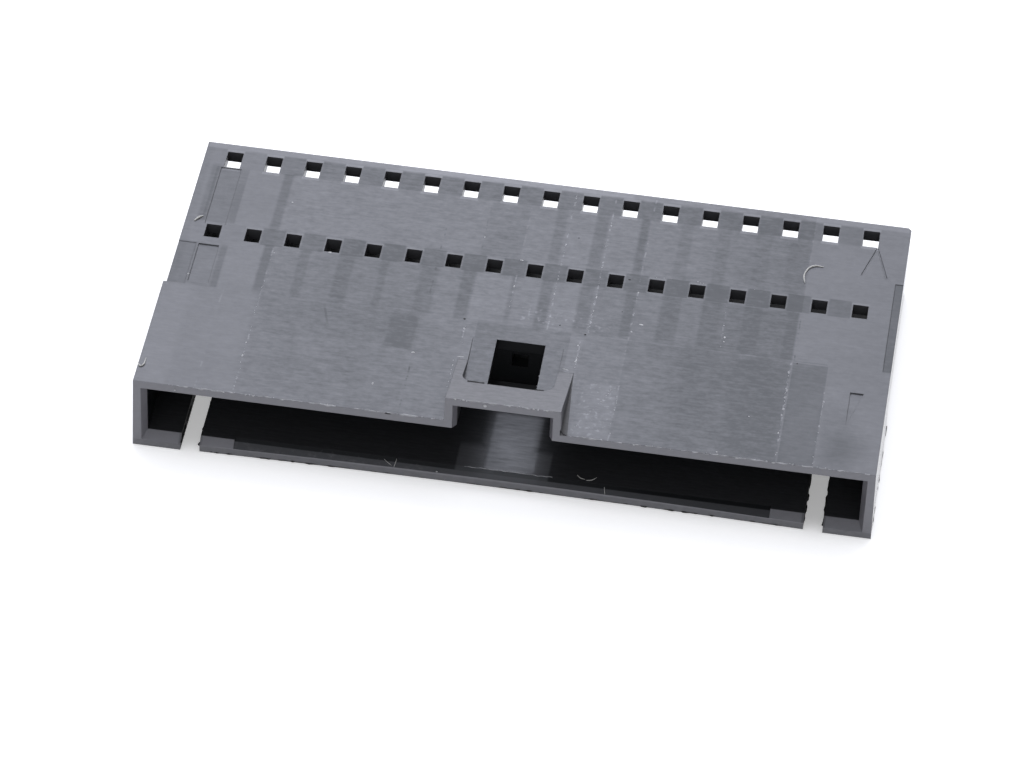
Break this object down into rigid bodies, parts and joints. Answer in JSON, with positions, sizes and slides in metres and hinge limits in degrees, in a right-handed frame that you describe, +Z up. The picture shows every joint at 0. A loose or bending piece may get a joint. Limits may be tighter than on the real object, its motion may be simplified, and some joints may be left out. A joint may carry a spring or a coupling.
{
  "type": "connector housing",
  "caption": "Black single-row wire-to-wire connector shell with a shroud, a latch hump over its mouth and open terminal cavities with two rows of windows.",
  "frame": {"origin": "centre of the bounding box's bottom face, on the face that the shell lies on", "axes": "+X along the row of ways, from the first way to the last; +Y from the shroud's mouth to the wire side; +Z up, towards the latch hump"},
  "size_m": [0.0454, 0.0228, 0.0071],
  "materials": {
    "black_plastic": "satin, faint drag lines, with light mould witness lines and flash specks"
  },
  "bodies": {
    "root": {"connector_housing": "black_plastic"}
  },
  "joints": []
}
